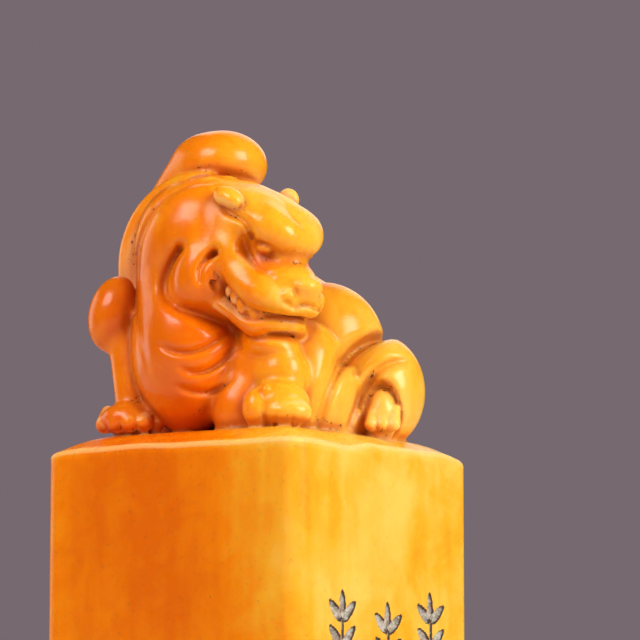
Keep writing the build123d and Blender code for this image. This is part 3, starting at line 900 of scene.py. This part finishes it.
coarse, fine = ((0.385, 0.22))
# Grid on each axis: low and high end, and the fine part's low and high end
GRID = ((-20.0, 19.6, -11.0, 9.0), (-17.5, 21.5, -16.5, -6.0), (-0.9, 37.6, 5.0, 31.0))
# How hollow the stone is: reaches of the samples over its surface, and their weights
HOLLOW_SAMPLES = ((0.45, 0.45), (1.5, 0.5), (3.5, 0.45))
# How far in thinness is felt, and how strong the painted glow of thin parts is
THIN_REACH, THIN_GLOW_WEIGHT = 3.0, 0.92
BEAST_LOOK = {"roughness": 0.19, "marks": 0.2, "shine": 0.30}
SHAFT_LOOK = {"roughness": 0.26, "marks": 0.1, "shine": 0.14}

points, quads = skin(stone, [graded(*ends, fine, coarse) for ends in GRID])
_, gradient, length = slope(stone, points)
outward = gradient / length[:, None]
# How hollow each vertex is; the material paints dark red shade there, partly stain
hollow = sum(
    weight * (1 - in_parts(stone, points + reach * outward) / reach)
    for reach, weight in HOLLOW_SAMPLES
)
# How thin the stone is at each vertex; the material paints a pale glow there
depth_within = -in_parts(stone, points - THIN_REACH * outward) / THIN_REACH
beast_mesh = mesh_object("beast", to_row(points), quads, stone_material("polished stone", **BEAST_LOOK), (
    ("hollow", np.clip(hollow, 0, 1)),
    ("thin", THIN_GLOW_WEIGHT * np.clip(1 - depth_within, 0, 1)),
))
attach(beast_mesh, "root")
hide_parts(*[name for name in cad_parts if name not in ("seal_block", "seal_face")])


# Build the block. Leaf sprays are cut into its +X face: the shares of the face where each has its
# stem and its top, and then the leaves, in millimetres and turns
SPRAYS = ((-0.26, 0.635), (0.0, 0.615), (0.25, 0.64))
LEAF_PAIRS, LEAF_PITCH, LEAF_LENGTH, LEAF_HALF_WIDTH, LEAF_SPREAD = 8, 2.7, 3.4, 0.62, math.radians(52)
LEAF_BOW, LEAF_BOW_STEP, LEAF_TAPER, LEAF_STEEPNESS = 0.07, 2.7, 0.22, 2.2
STEM_HALF_WIDTH, MIDRIB_HALF_WIDTH, MIDRIB_HEIGHT, MIDRIB_SHARE = 0.26, 0.14, 0.75, 0.8
# How deep the cut is, and how much of it counts as hollow, so that painted shade, partly stain, gathers in it
CUT_DEPTH, CUT_HOLLOW = 0.5, 0.8

# Columns of the block's sheet on each side and corner. Then its rows, in millimetres over the
# rim: the skirt inside the border of the printing face, the wall under, beside and over the leaves,
# and the ground
SIDE_COLUMNS, CORNER_COLUMNS = (200, 46, 46, 60), 10
WALL_HALF, FOOT_GAP, BORDER_INSET, BORDER_RISE, FOOT_STEP = HALF_SIDE + 0.02, 0.03, 1.45, 1.3, 0.15
LEAVES_LOW, LEAVES_HIGH, WALL_HIGH, WALL_TOP = -42.5, -14.5, -1.6, -1.2
FOOT_ROWS, LEAF_ROWS, TOP_ROWS, RIM_ROWS = 10, 136, 14, 9
GROUND_FROM, GROUND_TO, GROUND_STEP = 1.05, 11.5, 0.3
INNER_CORNER, CORNER_FADE, WAVE_REACH = 0.5, 2, 3
# How far the painted highlight along the rim's edge reaches, and how it fades
RIM_HIGHLIGHT_REACH, RIM_HIGHLIGHT_FADE = 1.2, 0.8


def leaf_cut(along, up):
    """How deep the leaf sprays are cut at places on the +X face, 0 to 1: each leaf is two wedges
    that meet on a raised midrib, and its outline is an ellipse that narrows to its tip and turns a
    little from leaf to leaf."""
    cut = np.zeros_like(along)
    middle = LEAF_LENGTH / 2
    for spray, (across_share, top_share) in enumerate(SPRAYS):
        across, top = across_share * SIDE, top_share * SHAFT_HEIGHT
        from_stem = np.abs(along - across)
        in_run = (up < top) & (up > top - LEAF_PAIRS * LEAF_PITCH)
        cut = np.maximum(cut, np.where(in_run, 1 - from_stem / STEM_HALF_WIDTH, 0))
        leaves = [(top, 0.0)]
        for pair in range(LEAF_PAIRS):
            leaves += [(top - pair * LEAF_PITCH, hand * LEAF_SPREAD) for hand in (-1, 1)]
        for number, (root, turn) in enumerate(leaves):
            turn = turn + LEAF_BOW * math.sin(LEAF_BOW_STEP * number + spray)
            x, y = along - across, up - root
            side = x * math.cos(turn) + y * math.sin(turn)
            out = y * math.cos(turn) - x * math.sin(turn)
            taper = 1 - LEAF_TAPER * (out - middle) / middle
            reach = (side / (LEAF_HALF_WIDTH * taper)) ** 2 + ((out - middle) / middle) ** 2
            blade = np.clip((1 - np.sqrt(reach)) * LEAF_STEEPNESS, 0, 1)
            rib = MIDRIB_HEIGHT * np.clip(1 - np.abs(side) / MIDRIB_HALF_WIDTH, 0, 1)
            rib = rib * (out < LEAF_LENGTH * MIDRIB_SHARE)
            cut = np.maximum(cut, blade * (1 - rib))
    return np.clip(cut, 0, 1)


def block_skin():
    """Wall, rim and ground as one sheet. Round the block, each station has the outward direction of
    its side or corner. Up the sheet, each row has an inset and a height: down inside the border of
    the printing face, out under it, up the wall, round the rim in a quarter turn, then in over the
    ground."""
    angle, along, side = [], [], []
    for index, count in enumerate(SIDE_COLUMNS):
        arc = np.linspace(0, math.pi / 2, CORNER_COLUMNS + 2)[1:-1]
        angle += [index * math.pi / 2] * count + list(index * math.pi / 2 + arc)
        along += list(np.linspace(-1, 1, count)) + [1.0] * CORNER_COLUMNS
        side += [index] * (count + CORNER_COLUMNS)
    angle, along, side = np.array(angle), np.array(along), np.array(side)
    facing = side * math.pi / 2
    foot = FOOT_GAP - RIM / MM
    wall = np.concatenate([
        np.linspace(foot + FOOT_STEP, LEAVES_LOW, FOOT_ROWS)[:-1],
        np.linspace(LEAVES_LOW, LEAVES_HIGH, LEAF_ROWS)[:-1],
        np.linspace(LEAVES_HIGH, WALL_HIGH, TOP_ROWS),
        [WALL_TOP],
    ])
    turn = np.linspace(0, math.pi / 2, RIM_ROWS)
    over = np.arange(GROUND_FROM, GROUND_TO, GROUND_STEP)
    skirt_inset, skirt_drop = [BORDER_INSET, BORDER_INSET, FOOT_STEP], [foot + BORDER_RISE, foot, foot]
    inset = np.concatenate([skirt_inset, 0 * wall, ROUNDING * (1 - np.cos(turn)), over])[:, None]
    drop = np.concatenate([skirt_drop, wall, -ROUNDING * (1 - np.sin(turn)), 0 * over])[:, None]
    radius = INNER_CORNER + (CORNER - INNER_CORNER) * np.exp(-inset / CORNER_FADE)
    core = WALL_HALF - inset - radius
    x = core * (np.cos(facing) - along * np.sin(facing)) + radius * np.cos(angle)
    y = core * (np.sin(facing) + along * np.cos(facing)) + radius * np.sin(angle)
    round_about = np.arctan2(y, x)
    wall_lift = swell(0, round_about) * np.clip(1 + (drop + ROUNDING) / WAVE_REACH, 0, 1)
    z = drop + np.where(drop < -ROUNDING, wall_lift, swell(inset, round_about))
    on_face = (side == 0) & (inset == 0)
    cut = np.where(on_face, leaf_cut(y, z + RIM / MM), 0)
    x = x - CUT_DEPTH * cut
    index = np.arange(x.size).reshape(x.shape)
    ring = np.roll(index, -1, 1)
    faces = np.stack([index[:-1], ring[:-1], ring[1:], index[1:]], -1).reshape(-1, 4)
    sheet = np.stack([x * MM + MIDDLE.x, y * MM + MIDDLE.y, z * MM + RIM], -1).reshape(-1, 3)
    # Nearness to the rim's edge, where the material paints a highlight
    edge = np.clip((RIM_HIGHLIGHT_REACH - np.hypot(inset, drop)) / RIM_HIGHLIGHT_FADE, 0, 1)
    return sheet, faces, [index[0][::-1], index[-1]], cut.ravel(), np.broadcast_to(edge, x.shape).ravel()


sheet, faces, caps, cut, edge = block_skin()
# Rim nearness goes in as thin, which the material paints as a pale highlight; the cut counts as hollow
block_marks = (("cut", cut), ("hollow", CUT_HOLLOW * cut), ("thin", edge))
block_stone = stone_material("shaft stone", **SHAFT_LOOK, cut=True, paste=True)
block_mesh = mesh_object("shaft", sheet, faces, block_stone, block_marks, caps)
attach(block_mesh, "root")
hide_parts("seal_block")

# The printing face keeps its CAD shape, and takes red paste stain on its relief
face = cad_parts["seal_face"]
face.data.materials.clear()
face.data.materials.append(stone_material("printing face", **SHAFT_LOOK, paste=True))


# Stage: a pale floor, a plain backdrop, four soft lamps, and the camera
FLOOR_REACH, FLOOR_COLOUR, FLOOR_ROUGHNESS = 2, (0.62, 0.60, 0.60, 1), 0.7
AMBIENT = {"Color": (0.66, 0.62, 0.58, 1), "Strength": 0.30}
BACKDROP = {"Color": (0.181, 0.141, 0.162, 1), "Strength": 1.0}
GLEAM = {"Color": (0.5, 0.4, 0.35, 1), "Strength": 0.07}
# Lamps: knob point, point aimed at, width and height in metres, power in watts, colour
LAMPS = {
    "key": ((330, -230, 190), (0, 0, 5), 0.20, 0.26, 1.9, (1.0, 0.96, 0.88)),
    "side": ((-260, -260, 300), (0, 0, 10), 0.26, 0.22, 1.5, (1.0, 0.93, 0.93)),
    "left": ((-400, 260, 120), (0, 0, -20), 0.3, 0.3, 0.35, (1, 1, 1)),
    "back": ((60, 360, 260), (0, 0, 0), 0.3, 0.3, 0.3, (1, 1, 1)),
}

floor_paint = bpy.data.materials.new("floor")
floor_paint.use_nodes = True
floor_shader = floor_paint.node_tree.nodes["Principled BSDF"]
floor_shader.inputs["Base Color"].default_value = FLOOR_COLOUR
floor_shader.inputs["Roughness"].default_value = FLOOR_ROUGHNESS
floor_mesh = bpy.data.meshes.new("floor")
floor_corners = [(x * FLOOR_REACH, y * FLOOR_REACH, 0) for x, y in ((-1, -1), (1, -1), (1, 1), (-1, 1))]
floor_mesh.from_pydata(floor_corners, [], [(0, 1, 2, 3)])
floor_mesh.materials.append(floor_paint)
floor = bpy.data.objects.new("floor", floor_mesh)
bpy.context.scene.collection.objects.link(floor)

# What the camera sees, what gleams on the stone and what lights it are three plain skies
world = bpy.data.worlds.new("studio")
bpy.context.scene.world = world
world.use_nodes = True
sky = world.node_tree
ambient = sky.nodes["Background"]
for socket, value in AMBIENT.items():
    ambient.inputs[socket].default_value = value
backdrop = node(sky, "ShaderNodeBackground", BACKDROP)
gleam = node(sky, "ShaderNodeBackground", GLEAM)
ray = node(sky, "ShaderNodeLightPath").outputs
lit = node(sky, "ShaderNodeMixShader", {0: ray["Is Glossy Ray"], 1: ambient.outputs[0], 2: gleam.outputs[0]})
shown = node(sky, "ShaderNodeMixShader", {0: ray["Is Camera Ray"], 1: lit.outputs[0], 2: backdrop.outputs[0]})
sky.links.new(shown.outputs[0], sky.nodes["World Output"].inputs["Surface"])


def lamp(name, spot, aim, width, height, power, colour):
    """A soft rectangular lamp at one knob point, turned to another."""
    light = bpy.data.lights.new(name, "AREA")
    light.shape = "RECTANGLE"
    light.size, light.size_y = width, height
    light.energy = power
    light.color = colour
    thing = bpy.data.objects.new(name, light)
    bpy.context.scene.collection.objects.link(thing)
    thing.location = place(*spot)
    thing.rotation_euler = (place(*aim) - thing.location).to_track_quat("-Z", "Y").to_euler()


for name, settings in LAMPS.items():
    lamp(name, *settings)

camera_data = bpy.data.cameras.new("camera")
camera_data.sensor_width = SENSOR
camera_data.lens = SENSOR * FOCAL_PIXELS / PICTURE_PIXELS
camera_data.clip_start, camera_data.clip_end = CAMERA_NEAR, CAMERA_FAR
camera = bpy.data.objects.new("camera", camera_data)
bpy.context.scene.collection.objects.link(camera)
camera.location = place(CAMERA_ACROSS, -CAMERA_BACK, CAMERA_UP)
camera.rotation_euler = (math.pi / 2 + CAMERA_TILT, 0, KNOB_TURN)
bpy.context.scene.camera = camera
bpy.context.scene.view_settings.view_transform = "Standard"
